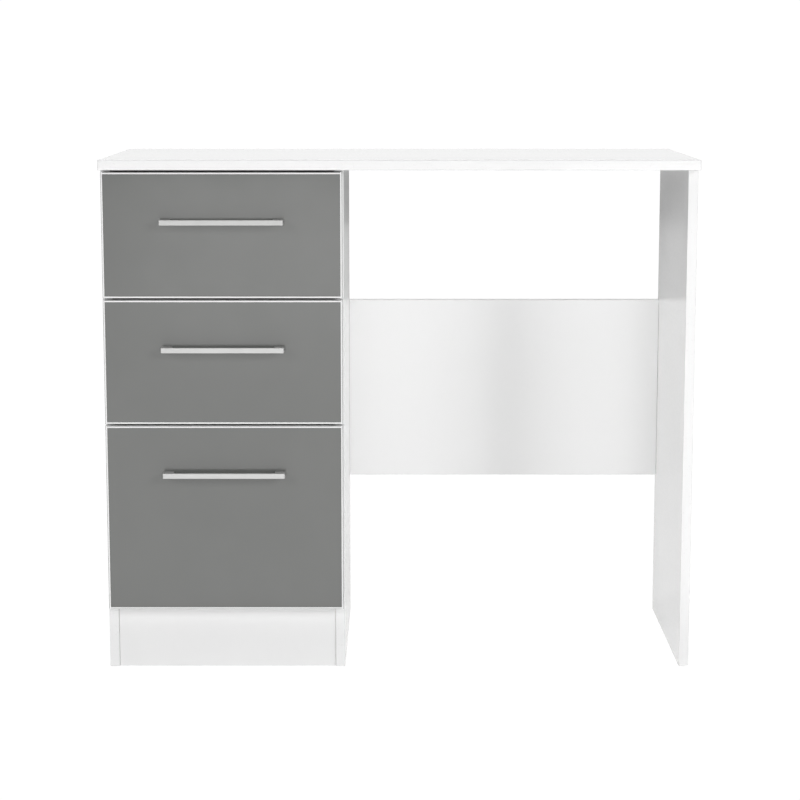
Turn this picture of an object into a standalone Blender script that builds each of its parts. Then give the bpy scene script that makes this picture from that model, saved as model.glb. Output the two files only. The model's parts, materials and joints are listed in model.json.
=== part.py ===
"""Writing desk with three drawers.

White boards carry a thin desktop. Three drawers with grey, white-edged fronts and flat bar handles run
on roller runners in a pedestal at the left. A modesty panel joins the pedestal to a panel leg at the right.

The desk stands on the floor at z = 0. +X is to the right and +Y to the back, so the drawers open towards
-Y. The origin is on the floor, in the middle of the whole width and of the whole depth, handles included.
"""
import math

import bmesh
import bpy
from mathutils import Matrix, Vector

# ---------------------------------------------------------------- driving dimensions, in metres

# The whole desk
DESK_WIDTH = 0.920
DESK_HEIGHT = 0.800
DESKTOP_DEPTH = 0.400
DESKTOP_THICKNESS = 0.016
BOARD = 0.015               # every upright board, the base and the plinth
SIDE_OVERHANG = 0.002       # how far the desktop stands out past the boards under it
FRONT_OVERHANG = 0.018
BACK_OVERHANG = 0.012
FIT = 0.0003                # gap between faces that touch
DESKTOP_EDGE = 0.0015       # rounding of the desktop's edge, in two steps
DESKTOP_EDGE_STEPS = 2
BOARD_EDGE = 0.0005         # broken edge of the other boards

# The pedestal and the modesty panel
PEDESTAL_WIDTH = 0.3725
PLINTH_HEIGHT = 0.100
PLINTH_RECESS = 0.0025      # plinth face behind the side boards' front edges
BASE_RECESS = 0.003
HARDBOARD = 0.003
BACK_INSET = 0.008          # hardboard back in front of the side boards' back edges
GROOVE_DEPTH = 0.005
MODESTY_DROP = 0.239        # from the desktop's underside to the modesty panel's top
MODESTY_HEIGHT = 0.304

# Drawer fronts and boxes
FRONT_THICKNESS = 0.016
FRONT_INSET = 0.002         # front's edge inside the pedestal's outer face
FRONT_GAP = 0.003           # between two fronts, and under the desktop
FRONT_STANDOFF = 0.0008     # front's back face before the side boards' front edges
SMALL_FRONT_HEIGHT = 0.193
FRONT_OVER_PLINTH = 0.0025  # how far the lowest front reaches down over the plinth
BOX_BOARD = 0.012
BOX_RISE = 0.030            # from the front's lower edge to the box's lower edge
BOX_HEADROOM = 0.043        # from the box's upper edge to the front's upper edge
BOX_BACK_ROOM = 0.009       # free space between the box and the pedestal's back
FLOOR_RISE = 0.010          # from the box's lower edge to the drawer floor

# Handles and their screws
HANDLE_LENGTH = 0.189
HANDLE_HEIGHT = 0.008
HANDLE_REACH = 0.020        # from the drawer front's face to the bar's face
HANDLE_DROP = 0.0755        # from the front's upper edge to the handle's middle
BAR_THICKNESS = 0.0045
FOOT_WIDTH = 0.016
HANDLE_CORNER = 0.001
HANDLE_FILLET = 0.0025
HANDLE_EDGE = 0.0003
HANDLE_EDGE_ANGLE = math.radians(50)    # sharper corners than this are broken, the arcs are not
SCREW_RADIUS = 0.002
SCREW_BITE = 0.009          # thread length inside the handle's foot
SCREW_HEAD_RADIUS = 0.004
SCREW_HEAD_HEIGHT = 0.0022

# Roller runners
RUNNER_SPACE = 0.0125       # between the side board and the drawer box
STEEL = 0.001
RUNNER_SETBACK = 0.002      # rail's front end behind the edge that it starts from
RUNNER_OVERLAP = 0.085      # length of rail that stays inside when the drawer is open
WRAP_WIDTH = 0.009          # flange under the drawer's side
ROLLER_RADIUS = 0.008
ROLLER_WIDTH = 0.005
ROLLER_SETBACK = 0.014      # roller's axis from its rail's end
ROLLER_EDGE = 0.0006
CHANNEL_PLAY = 0.001        # height of the channel above its roller
FLANGE_LIFT = 0.0006        # front roller's top above the channel's upper flange
WEB_CLEARANCE = 0.0008      # between one rail's flange and the other rail's web
RIVET_RADIUS = 0.002
RIVET_HEAD_RADIUS = 0.0032
RIVET_HEAD = 0.0006
SHOULDER_RADIUS = 0.0035
STOP_HEIGHT = 0.002
STOP_LENGTH = 0.003
NOTCH_ROOM = 0.002          # cut-out of the channel's upper flange behind the front roller

ROUND_STEPS = 24
SMALL_ROUND_STEPS = 16
CORNER_STEPS = 3
WELD_DISTANCE = 0.00001
QUARTER_TURN = math.radians(90)

# ---------------------------------------------------------------- places worked out from them

TOTAL_DEPTH = DESKTOP_DEPTH + HANDLE_REACH - (FRONT_OVERHANG - FRONT_STANDOFF - FRONT_THICKNESS)
DESKTOP_BACK_Y = TOTAL_DEPTH / 2
DESKTOP_FRONT_Y = DESKTOP_BACK_Y - DESKTOP_DEPTH
BOARD_FRONT_Y = DESKTOP_FRONT_Y + FRONT_OVERHANG
BOARD_BACK_Y = DESKTOP_BACK_Y - BACK_OVERHANG
DESKTOP_UNDER_Z = DESK_HEIGHT - DESKTOP_THICKNESS
BOARD_TOP_Z = DESKTOP_UNDER_Z - FIT

PEDESTAL_LEFT_X = -DESK_WIDTH / 2 + SIDE_OVERHANG
PEDESTAL_RIGHT_X = PEDESTAL_LEFT_X + PEDESTAL_WIDTH
PEDESTAL_MID_X = (PEDESTAL_LEFT_X + PEDESTAL_RIGHT_X) / 2
INNER_HALF_WIDTH = PEDESTAL_WIDTH / 2 - BOARD
LEG_OUTER_X = DESK_WIDTH / 2 - SIDE_OVERHANG
LEG_INNER_X = LEG_OUTER_X - BOARD
BACK_Y = BOARD_BACK_Y - BACK_INSET - HARDBOARD
BASE_TOP_Z = PLINTH_HEIGHT + FIT + BOARD

FRONT_BACK_Y = BOARD_FRONT_Y - FRONT_STANDOFF
FRONT_FACE_Y = FRONT_BACK_Y - FRONT_THICKNESS
FRONT_HALF_WIDTH = PEDESTAL_WIDTH / 2 - FRONT_INSET
BOX_FRONT_Y = FRONT_BACK_Y + FIT
BOX_BACK_Y = BACK_Y - BOX_BACK_ROOM
BOX_HALF_WIDTH = INNER_HALF_WIDTH - RUNNER_SPACE
FRONTS_TOP_Z = DESKTOP_UNDER_Z - FRONT_GAP
FRONTS_BOTTOM_Z = PLINTH_HEIGHT - FRONT_OVER_PLINTH
LARGE_FRONT_HEIGHT = FRONTS_TOP_Z - FRONTS_BOTTOM_Z - 2 * SMALL_FRONT_HEIGHT - 2 * FRONT_GAP
DRAWERS = (("top", SMALL_FRONT_HEIGHT), ("middle", SMALL_FRONT_HEIGHT), ("bottom", LARGE_FRONT_HEIGHT))

RUNNER_FRONT_Y = BOARD_FRONT_Y + RUNNER_SETBACK
RUNNER_BACK_Y = BOX_BACK_Y + RUNNER_SETBACK
RAIL_FRONT_Y = BOX_FRONT_Y + RUNNER_SETBACK
RAIL_BACK_Y = BOX_BACK_Y
DRAWER_TRAVEL = RUNNER_BACK_Y - RUNNER_FRONT_Y - RUNNER_OVERLAP
FRONT_ROLLER_Y = RUNNER_FRONT_Y + ROLLER_SETBACK
REAR_ROLLER_Y = RAIL_BACK_Y - ROLLER_SETBACK

# Heights on a runner, from the channel's floor, which is level with the box's lower edge
CHANNEL_HEIGHT = 2 * ROLLER_RADIUS + CHANNEL_PLAY
FRONT_ROLLER_RISE = CHANNEL_HEIGHT + STEEL + FLANGE_LIFT - ROLLER_RADIUS
REAR_ROLLER_RISE = FIT + ROLLER_RADIUS
RAIL_FLANGE_RISE = FRONT_ROLLER_RISE + ROLLER_RADIUS + FIT
# The stop meets the rear roller below its axis, so the distance follows from the circle
STOP_REACH = math.sqrt(ROLLER_RADIUS ** 2 - (REAR_ROLLER_RISE - STOP_HEIGHT) ** 2) + FIT

# ---------------------------------------------------------------- finishes: colour, roughness, metallic

WHITE_MELAMINE = ((0.90, 0.90, 0.90), 0.35, 0.0)
GREY_GLOSS = ((0.22, 0.225, 0.215), 0.15, 0.0)
SATIN_METAL = ((0.66, 0.66, 0.65), 0.35, 1.0)
WHITE_STEEL = ((0.82, 0.82, 0.80), 0.40, 0.3)
ZINC = ((0.62, 0.63, 0.65), 0.35, 1.0)
NYLON = ((0.86, 0.86, 0.82), 0.45, 0.0)
WHITE_HARDBOARD = ((0.84, 0.84, 0.82), 0.55, 0.0)

# ---------------------------------------------------------------- modelling helpers

for old_object in list(bpy.data.objects):
    bpy.data.objects.remove(old_object, do_unlink=True)

desk_parts = bpy.data.collections.new("writing_desk")
cutters = bpy.data.collections.new("cutters")
bpy.context.scene.collection.children.link(desk_parts)
bpy.context.scene.collection.children.link(cutters)


def give_material(part, finish):
    """Each part has a Principled material of its own."""
    colour, roughness, metallic = finish
    material = bpy.data.materials.new(part.name)
    material.use_nodes = True
    shader = material.node_tree.nodes["Principled BSDF"]
    shader.inputs["Base Color"].default_value = (*colour, 1.0)
    shader.inputs["Roughness"].default_value = roughness
    shader.inputs["Metallic"].default_value = metallic
    part.data.materials.append(material)


def add_object(name, mesh, place, parent=None, finish=None):
    """Put a mesh into the scene at a world place. With no finish it is a cutter or a joining shape."""
    part = bpy.data.objects.new(name, mesh)
    if finish is None:
        cutters.objects.link(part)
        part.hide_render = True
        part.display_type = "WIRE"
    else:
        desk_parts.objects.link(part)
        give_material(part, finish)
    part.location = Vector(place)
    if parent is not None:
        part.parent = parent
        part.location -= parent.location
    return part


def add_box(name, low, high, parent=None, finish=None, edge=0.0):
    """A box between two corners, with its origin in its middle."""
    low, high = Vector(low), Vector(high)
    size = high - low
    mesh = bpy.data.meshes.new(name)
    shape = bmesh.new()
    bmesh.ops.create_cube(shape, size=1.0, matrix=Matrix.Diagonal((*size, 1.0)))
    shape.to_mesh(mesh)
    shape.free()
    part = add_object(name, mesh, (low + high) / 2, parent, finish)
    if edge > 0.0:
        bevel = part.modifiers.new("broken_edge", "BEVEL")
        bevel.width = edge
        bevel.segments = 1
    return part


def add_turned(name, profile, place, turn, steps, parent=None, finish=None, ring=False):
    """A shape turned about its own Z from (radius, height) points that run down its outer side."""
    mesh = bpy.data.meshes.new(name)
    shape = bmesh.new()
    corners = [shape.verts.new((radius, 0.0, height)) for radius, height in profile]
    for first, second in zip(corners, corners[1:]):
        shape.edges.new((first, second))
    if ring:
        shape.edges.new((corners[-1], corners[0]))
    shape.to_mesh(mesh)
    shape.free()
    part = add_object(name, mesh, place, parent, finish)
    part.rotation_euler = turn
    lathe = part.modifiers.new("lathe", "SCREW")
    lathe.steps = steps
    lathe.render_steps = steps
    lathe.use_merge_vertices = True
    lathe.merge_threshold = WELD_DISTANCE
    return part


def combine(part, tool, operation):
    """Cut a tool out of a part, or join it on."""
    boolean = part.modifiers.new(tool.name, "BOOLEAN")
    boolean.operation = operation
    boolean.object = tool
    boolean.solver = "EXACT"


def rounded_outline(corners):
    """Points of a closed outline whose corners (x, y, radius) are rounded with arcs."""
    points = []
    for index, (x, y, radius) in enumerate(corners):
        corner = Vector((x, y))
        before = (Vector(corners[index - 1][:2]) - corner).normalized()
        after = (Vector(corners[(index + 1) % len(corners)][:2]) - corner).normalized()
        if radius == 0.0:
            points.append(corner)
            continue
        half_angle = before.angle(after) / 2
        start = corner + before * (radius / math.tan(half_angle))
        end = corner + after * (radius / math.tan(half_angle))
        centre = corner + (before + after).normalized() * (radius / math.sin(half_angle))
        for step in range(CORNER_STEPS + 1):
            ray = (start - centre).lerp(end - centre, step / CORNER_STEPS)
            points.append(centre + ray.normalized() * radius)
    return points


def add_plate(name, outline, thickness, place, parent, finish):
    """A flat outline in X and Y, given a thickness along Z and made a mesh, so that it can be cut."""
    curve = bpy.data.curves.new(name + "_outline", "CURVE")
    curve.dimensions = "2D"
    curve.fill_mode = "BOTH"
    curve.extrude = thickness / 2
    spline = curve.splines.new("POLY")
    spline.points.add(len(outline) - 1)
    for point, corner in zip(spline.points, outline):
        point.co = (corner.x, corner.y, 0.0, 1.0)
    spline.use_cyclic_u = True
    drawing = bpy.data.objects.new(name + "_outline", curve)
    cutters.objects.link(drawing)
    evaluated = drawing.evaluated_get(bpy.context.evaluated_depsgraph_get())
    mesh = bpy.data.meshes.new_from_object(evaluated)
    bpy.data.objects.remove(drawing, do_unlink=True)
    shape = bmesh.new()
    shape.from_mesh(mesh)
    bmesh.ops.remove_doubles(shape, verts=shape.verts, dist=WELD_DISTANCE)
    shape.to_mesh(mesh)
    shape.free()
    return add_object(name, mesh, place, parent, finish)


def add_folded_rail(name, section, low_y, high_y, place, parent, finish):
    """Sheet steel folded along Y. The section's (x, z) points are the middle of the sheet."""
    mesh = bpy.data.meshes.new(name)
    shape = bmesh.new()
    corners = [shape.verts.new((x, low_y, z)) for x, z in section]
    edges = [shape.edges.new(pair) for pair in zip(corners, corners[1:])]
    pulled = bmesh.ops.extrude_edge_only(shape, edges=edges)
    far_side = [item for item in pulled["geom"] if isinstance(item, bmesh.types.BMVert)]
    bmesh.ops.translate(shape, verts=far_side, vec=(0.0, high_y - low_y, 0.0))
    shape.to_mesh(mesh)
    shape.free()
    rail = add_object(name, mesh, place, parent, finish)
    sheet = rail.modifiers.new("sheet", "SOLIDIFY")
    sheet.thickness = STEEL
    sheet.offset = 0.0
    sheet.use_even_offset = True
    return rail


# ---------------------------------------------------------------- frame


def add_pedestal_side(name, outer_x, inner_x):
    """A side board with a stopped groove for the hardboard back."""
    low_x, high_x = min(outer_x, inner_x), max(outer_x, inner_x)
    side = add_box(name, (low_x, BOARD_FRONT_Y, 0.0), (high_x, BOARD_BACK_Y, BOARD_TOP_Z),
                   finish=WHITE_MELAMINE, edge=BOARD_EDGE)
    into_board = math.copysign(GROOVE_DEPTH, outer_x - inner_x)
    groove_x = (inner_x - into_board, inner_x + into_board)
    groove = add_box(name + "_groove",
                     (min(groove_x), BACK_Y - FIT, PLINTH_HEIGHT),
                     (max(groove_x), BACK_Y + HARDBOARD + FIT, DESK_HEIGHT))
    combine(side, groove, "DIFFERENCE")


def add_frame():
    """The desktop, the boards that carry it, and the pedestal's base, plinth and back."""
    desktop = add_box("desktop",
                      (-DESK_WIDTH / 2, DESKTOP_FRONT_Y, DESKTOP_UNDER_Z),
                      (DESK_WIDTH / 2, DESKTOP_BACK_Y, DESK_HEIGHT),
                      finish=WHITE_MELAMINE, edge=DESKTOP_EDGE)
    desktop.modifiers["broken_edge"].segments = DESKTOP_EDGE_STEPS
    add_pedestal_side("pedestal_left_side", PEDESTAL_LEFT_X, PEDESTAL_LEFT_X + BOARD)
    add_pedestal_side("pedestal_right_side", PEDESTAL_RIGHT_X, PEDESTAL_RIGHT_X - BOARD)
    add_box("right_leg",
            (LEG_INNER_X, BOARD_FRONT_Y, 0.0), (LEG_OUTER_X, BOARD_BACK_Y, BOARD_TOP_Z),
            finish=WHITE_MELAMINE, edge=BOARD_EDGE)
    modesty_top_z = DESKTOP_UNDER_Z - MODESTY_DROP
    add_box("modesty_panel",
            (PEDESTAL_RIGHT_X + FIT, BOARD_BACK_Y - BOARD, modesty_top_z - MODESTY_HEIGHT),
            (LEG_INNER_X - FIT, BOARD_BACK_Y, modesty_top_z),
            finish=WHITE_MELAMINE, edge=BOARD_EDGE)

    between_left_x = PEDESTAL_MID_X - INNER_HALF_WIDTH + FIT
    between_right_x = PEDESTAL_MID_X + INNER_HALF_WIDTH - FIT
    add_box("pedestal_base",
            (between_left_x, BOARD_FRONT_Y + BASE_RECESS, PLINTH_HEIGHT + FIT),
            (between_right_x, BACK_Y - FIT, BASE_TOP_Z),
            finish=WHITE_MELAMINE, edge=BOARD_EDGE)
    add_box("pedestal_plinth",
            (between_left_x, BOARD_FRONT_Y + PLINTH_RECESS, 0.0),
            (between_right_x, BOARD_FRONT_Y + PLINTH_RECESS + BOARD, PLINTH_HEIGHT),
            finish=WHITE_MELAMINE, edge=BOARD_EDGE)
    in_groove = GROOVE_DEPTH - FIT
    add_box("pedestal_back",
            (PEDESTAL_MID_X - INNER_HALF_WIDTH - in_groove, BACK_Y, PLINTH_HEIGHT + FIT),
            (PEDESTAL_MID_X + INNER_HALF_WIDTH + in_groove, BACK_Y + HARDBOARD, BOARD_TOP_Z),
            finish=WHITE_HARDBOARD)


# ---------------------------------------------------------------- drawers


def add_handle(drawer_name, carrier, front, handle_z):
    """A flat bar on two block feet, with a blind hole in each foot for its screw."""
    half_length = HANDLE_LENGTH / 2
    inner_half = half_length - FOOT_WIDTH
    bar_face = FIT - HANDLE_REACH
    bar_rear = bar_face + BAR_THICKNESS
    outline = rounded_outline((
        (-half_length, 0.0, 0.0),
        (-half_length, bar_face, HANDLE_CORNER),
        (half_length, bar_face, HANDLE_CORNER),
        (half_length, 0.0, 0.0),
        (inner_half, 0.0, 0.0),
        (inner_half, bar_rear, HANDLE_FILLET),
        (-inner_half, bar_rear, HANDLE_FILLET),
        (-inner_half, 0.0, 0.0),
    ))
    handle = add_plate(drawer_name + "_handle", outline, HANDLE_HEIGHT,
                       (PEDESTAL_MID_X, FRONT_FACE_Y - FIT, handle_z), carrier, SATIN_METAL)
    edge = handle.modifiers.new("broken_edge", "BEVEL")
    edge.width = HANDLE_EDGE
    edge.segments = 1
    edge.angle_limit = HANDLE_EDGE_ANGLE

    hole_radius = SCREW_RADIUS + FIT
    hole_start_y = FRONT_FACE_Y - 2 * FIT - SCREW_BITE
    hole_length = FRONT_BACK_Y + FRONT_THICKNESS - hole_start_y
    head_y = FRONT_BACK_Y + FIT
    for side_name, side in (("left", -1), ("right", 1)):
        screw_x = PEDESTAL_MID_X + side * (half_length - FOOT_WIDTH / 2)
        hole = add_turned(f"{drawer_name}_screw_hole_{side_name}",
                          ((0.0, 0.0), (hole_radius, 0.0), (hole_radius, -hole_length), (0.0, -hole_length)),
                          (screw_x, hole_start_y, handle_z), (QUARTER_TURN, 0.0, 0.0),
                          SMALL_ROUND_STEPS, carrier)
        combine(handle, hole, "DIFFERENCE")
        combine(front, hole, "DIFFERENCE")
        add_turned(f"{drawer_name}_handle_screw_{side_name}",
                   ((0.0, FRONT_THICKNESS + SCREW_BITE),
                    (SCREW_RADIUS, FRONT_THICKNESS + SCREW_BITE),
                    (SCREW_RADIUS, 0.0),
                    (SCREW_HEAD_RADIUS, 0.0),
                    (SCREW_HEAD_RADIUS, -SCREW_HEAD_HEIGHT / 2),
                    (SCREW_HEAD_RADIUS / 2, -SCREW_HEAD_HEIGHT),
                    (0.0, -SCREW_HEAD_HEIGHT)),
                   (screw_x, head_y, handle_z), (QUARTER_TURN, 0.0, 0.0),
                   SMALL_ROUND_STEPS, carrier, ZINC)


def add_box_boards(drawer_name, carrier, front, box_low_z, box_high_z):
    """Two sides, a back and a hardboard floor that slides into grooves in the sides and the front."""
    inner_half = BOX_HALF_WIDTH - BOX_BOARD
    floor_z = box_low_z + FLOOR_RISE
    floor_half = inner_half + GROOVE_DEPTH - FIT
    groove = add_box(drawer_name + "_floor_groove",
                     (PEDESTAL_MID_X - floor_half - FIT, FRONT_BACK_Y - GROOVE_DEPTH, floor_z - FIT),
                     (PEDESTAL_MID_X + floor_half + FIT, BOX_BACK_Y + BOX_BOARD, floor_z + HARDBOARD + FIT),
                     carrier)
    combine(front, groove, "DIFFERENCE")
    for side_name, side in (("left", -1), ("right", 1)):
        outer_x = PEDESTAL_MID_X + side * BOX_HALF_WIDTH
        inner_x = PEDESTAL_MID_X + side * inner_half
        board = add_box(f"{drawer_name}_drawer_{side_name}_side",
                        (min(outer_x, inner_x), BOX_FRONT_Y, box_low_z),
                        (max(outer_x, inner_x), BOX_BACK_Y, box_high_z),
                        carrier, WHITE_MELAMINE, BOARD_EDGE)
        combine(board, groove, "DIFFERENCE")
    add_box(drawer_name + "_drawer_back",
            (PEDESTAL_MID_X - inner_half + FIT, BOX_BACK_Y - BOX_BOARD, floor_z + HARDBOARD + FIT),
            (PEDESTAL_MID_X + inner_half - FIT, BOX_BACK_Y, box_high_z),
            carrier, WHITE_MELAMINE, BOARD_EDGE)
    add_box(drawer_name + "_drawer_floor",
            (PEDESTAL_MID_X - floor_half, FRONT_BACK_Y - GROOVE_DEPTH + FIT, floor_z),
            (PEDESTAL_MID_X + floor_half, BOX_BACK_Y, floor_z + HARDBOARD),
            carrier, WHITE_HARDBOARD)


# ---------------------------------------------------------------- roller runners


def add_rivet(name, web_x, inward, y, z, parent):
    """The shouldered rivet that carries a roller. It stands out of a web's middle towards the other rail."""
    # Heights run along the rivet, from the middle of its own web
    tip = RUNNER_SPACE - 2 * FIT - 1.5 * STEEL - WEB_CLEARANCE
    head_base = tip - RIVET_HEAD
    shoulder_end = head_base - 2 * FIT - ROLLER_WIDTH
    profile = (
        (0.0, tip),
        (RIVET_HEAD_RADIUS, tip),
        (RIVET_HEAD_RADIUS, head_base),
        (RIVET_RADIUS, head_base),
        (RIVET_RADIUS, shoulder_end),
        (SHOULDER_RADIUS, shoulder_end),
        (SHOULDER_RADIUS, 0.0),
        (0.0, 0.0),
    )
    turn = (0.0, inward * QUARTER_TURN, 0.0)
    rivet = add_turned(name, profile, (web_x, y, z), turn, SMALL_ROUND_STEPS, parent)
    roller_mid_x = web_x + inward * (shoulder_end + FIT + ROLLER_WIDTH / 2)
    return rivet, roller_mid_x


def add_roller(name, x, y, z, parent):
    """A nylon roller that turns on its rivet. Its origin is on its axis."""
    half_width = ROLLER_WIDTH / 2
    bore = RIVET_RADIUS + FIT
    profile = (
        (bore, half_width),
        (ROLLER_RADIUS - ROLLER_EDGE, half_width),
        (ROLLER_RADIUS, half_width - ROLLER_EDGE),
        (ROLLER_RADIUS, ROLLER_EDGE - half_width),
        (ROLLER_RADIUS - ROLLER_EDGE, -half_width),
        (bore, -half_width),
    )
    add_turned(name, profile, (x, y, z), (0.0, QUARTER_TURN, 0.0), ROUND_STEPS, parent, NYLON, ring=True)


def add_runner(drawer_name, side_name, side, carrier, channel_z):
    """One cabinet channel with a roller at its front, and one drawer rail with a roller at its rear."""
    wall_x = PEDESTAL_MID_X + side * INNER_HALF_WIDTH
    inward = -side
    channel_web = wall_x + inward * (FIT + STEEL / 2)
    rail_web = wall_x + inward * (RUNNER_SPACE - FIT - STEEL / 2)
    channel_tip = rail_web - inward * (STEEL / 2 + WEB_CLEARANCE)
    rail_tip = channel_web + inward * (STEEL / 2 + WEB_CLEARANCE)
    wrap_tip = wall_x + inward * (RUNNER_SPACE + WRAP_WIDTH)

    low_z = channel_z - STEEL / 2
    high_z = channel_z + CHANNEL_HEIGHT + STEEL / 2
    runner = add_folded_rail(
        f"{drawer_name}_runner_{side_name}",
        [(x - wall_x, z - channel_z) for x, z in (
            (channel_tip, low_z), (channel_web, low_z), (channel_web, high_z), (channel_tip, high_z))],
        0.0, RUNNER_BACK_Y - RUNNER_FRONT_Y, (wall_x, RUNNER_FRONT_Y, channel_z), None, WHITE_STEEL)
    front_roller_z = channel_z + FRONT_ROLLER_RISE
    rivet, roller_x = add_rivet(f"{drawer_name}_front_rivet_{side_name}", channel_web, inward,
                                FRONT_ROLLER_Y, front_roller_z, None)
    combine(runner, rivet, "UNION")
    add_roller(f"{drawer_name}_front_roller_{side_name}", roller_x, FRONT_ROLLER_Y, front_roller_z, None)

    # The upper flange is cut away around the front roller
    notch_x = (channel_web + inward * STEEL / 2, channel_tip + inward * STEEL)
    notch = add_box(f"{drawer_name}_notch_{side_name}",
                    (min(notch_x), RUNNER_FRONT_Y - STEEL, high_z - STEEL),
                    (max(notch_x), FRONT_ROLLER_Y + ROLLER_RADIUS + NOTCH_ROOM, high_z + STEEL))
    combine(runner, notch, "DIFFERENCE")

    # The rear roller meets this stop when the drawer is fully open
    stop_back_y = REAR_ROLLER_Y - DRAWER_TRAVEL - STOP_REACH
    stop_x = (channel_web + inward * ROLLER_WIDTH / 2, channel_tip - inward * STEEL)
    stop = add_box(f"{drawer_name}_stop_{side_name}",
                   (min(stop_x), stop_back_y - STOP_LENGTH, low_z),
                   (max(stop_x), stop_back_y, channel_z + STOP_HEIGHT))
    combine(runner, stop, "UNION")

    wrap_z = channel_z - FIT - STEEL / 2
    flange_z = channel_z + RAIL_FLANGE_RISE + STEEL / 2
    rail = add_folded_rail(
        f"{drawer_name}_rail_{side_name}",
        [(x - wall_x, z - channel_z) for x, z in (
            (wrap_tip, wrap_z), (rail_web, wrap_z), (rail_web, flange_z), (rail_tip, flange_z))],
        0.0, RAIL_BACK_Y - RAIL_FRONT_Y, (wall_x, RAIL_FRONT_Y, channel_z), carrier, WHITE_STEEL)
    rear_roller_z = channel_z + REAR_ROLLER_RISE
    rivet, roller_x = add_rivet(f"{drawer_name}_rear_rivet_{side_name}", rail_web, -inward,
                                REAR_ROLLER_Y, rear_roller_z, carrier)
    combine(rail, rivet, "UNION")
    add_roller(f"{drawer_name}_rear_roller_{side_name}", roller_x, REAR_ROLLER_Y, rear_roller_z, carrier)


def add_drawer(drawer_name, front_top_z, front_height):
    """One drawer, with everything that slides on an empty at the middle of its front."""
    front_low_z = front_top_z - front_height
    carrier = bpy.data.objects.new(drawer_name + "_drawer_slide", None)
    desk_parts.objects.link(carrier)
    carrier.location = (PEDESTAL_MID_X, FRONT_FACE_Y, front_low_z + front_height / 2)

    front = add_box(drawer_name + "_drawer_front",
                    (PEDESTAL_MID_X - FRONT_HALF_WIDTH, FRONT_FACE_Y, front_low_z),
                    (PEDESTAL_MID_X + FRONT_HALF_WIDTH, FRONT_BACK_Y, front_top_z),
                    carrier, GREY_GLOSS, BOARD_EDGE)
    box_low_z = front_low_z + BOX_RISE
    add_box_boards(drawer_name, carrier, front, box_low_z, front_top_z - BOX_HEADROOM)
    add_handle(drawer_name, carrier, front, front_top_z - HANDLE_DROP)
    for side_name, side in (("left", -1), ("right", 1)):
        add_runner(drawer_name, side_name, side, carrier, box_low_z)


add_frame()
next_front_top_z = FRONTS_TOP_Z
for name, height in DRAWERS:
    add_drawer(name, next_front_top_z, height)
    next_front_top_z -= height + FRONT_GAP
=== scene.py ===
"""White writing desk with three grey-fronted drawers: its boards, edge bands, handles and roller runners."""
import json
import math

import bmesh
import bpy
from mathutils import Matrix, Vector


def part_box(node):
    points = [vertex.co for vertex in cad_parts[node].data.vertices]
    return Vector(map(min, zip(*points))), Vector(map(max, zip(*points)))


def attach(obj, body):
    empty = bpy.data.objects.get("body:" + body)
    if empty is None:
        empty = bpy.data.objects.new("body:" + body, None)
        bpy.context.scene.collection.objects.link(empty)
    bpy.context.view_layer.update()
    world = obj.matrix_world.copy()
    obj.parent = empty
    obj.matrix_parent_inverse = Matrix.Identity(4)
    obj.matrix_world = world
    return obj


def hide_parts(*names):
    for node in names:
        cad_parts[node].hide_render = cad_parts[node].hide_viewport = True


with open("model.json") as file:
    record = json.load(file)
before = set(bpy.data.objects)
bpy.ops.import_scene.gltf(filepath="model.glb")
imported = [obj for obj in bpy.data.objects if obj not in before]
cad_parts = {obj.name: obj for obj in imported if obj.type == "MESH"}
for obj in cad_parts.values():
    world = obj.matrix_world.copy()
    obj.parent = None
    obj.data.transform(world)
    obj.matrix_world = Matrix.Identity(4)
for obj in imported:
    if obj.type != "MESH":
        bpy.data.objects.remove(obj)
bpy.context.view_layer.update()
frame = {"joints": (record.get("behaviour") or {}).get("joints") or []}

# ================================================================ studio
# The camera stands a little above the desktop and looks slightly down. The lens sees the pale floor and the
# background as plain white. Soft lights stand at the four corners, low in front, overhead and behind, and two
# glowing cards stand close in front.

desk_low, desk_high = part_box("desktop")

CAMERA_DISTANCE = 3.3556
CAMERA_HEIGHT = 0.9578
CAMERA_PITCH = math.radians(81.064)
LENS = 98.78

camera = bpy.data.objects.new("camera", bpy.data.cameras.new("camera"))
camera.data.lens = LENS
camera.location = (0.001, desk_low.y - CAMERA_DISTANCE, CAMERA_HEIGHT)
camera.rotation_euler = (CAMERA_PITCH, 0.0, 0.0)
bpy.context.scene.collection.objects.link(camera)
bpy.context.scene.camera = camera
bpy.context.scene.view_settings.view_transform = "Standard"

FLOOR_REACH = 9.0
FLOOR_DROP = 0.0005
FLOOR_GREY = 0.8
FLOOR_GLOW = 0.32
BACKDROP_WHITE = 1.03
ROOM_LIGHT = 0.15


def shown_white_to_lens(tree, bounced):
    """The lens sees plain white, and every other ray gets what the bounced shader gives."""
    white = tree.nodes.new("ShaderNodeBackground" if tree == studio.node_tree else "ShaderNodeEmission")
    white.inputs["Strength"].default_value = BACKDROP_WHITE
    white.inputs["Color"].default_value = (1.0, 1.0, 1.0, 1.0)
    rays = tree.nodes.new("ShaderNodeLightPath")
    choice = tree.nodes.new("ShaderNodeMixShader")
    tree.links.new(rays.outputs["Is Camera Ray"], choice.inputs["Fac"])
    tree.links.new(bounced.outputs[0], choice.inputs[1])
    tree.links.new(white.outputs[0], choice.inputs[2])
    return choice.outputs[0]


studio = bpy.data.worlds.new("studio")
studio.use_nodes = True
bpy.context.scene.world = studio
room = studio.node_tree.nodes["Background"]
room.inputs["Color"].default_value = (1.0, 1.0, 1.0, 1.0)
room.inputs["Strength"].default_value = ROOM_LIGHT
studio.node_tree.links.new(shown_white_to_lens(studio.node_tree, room),
                           studio.node_tree.nodes["World Output"].inputs["Surface"])

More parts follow.
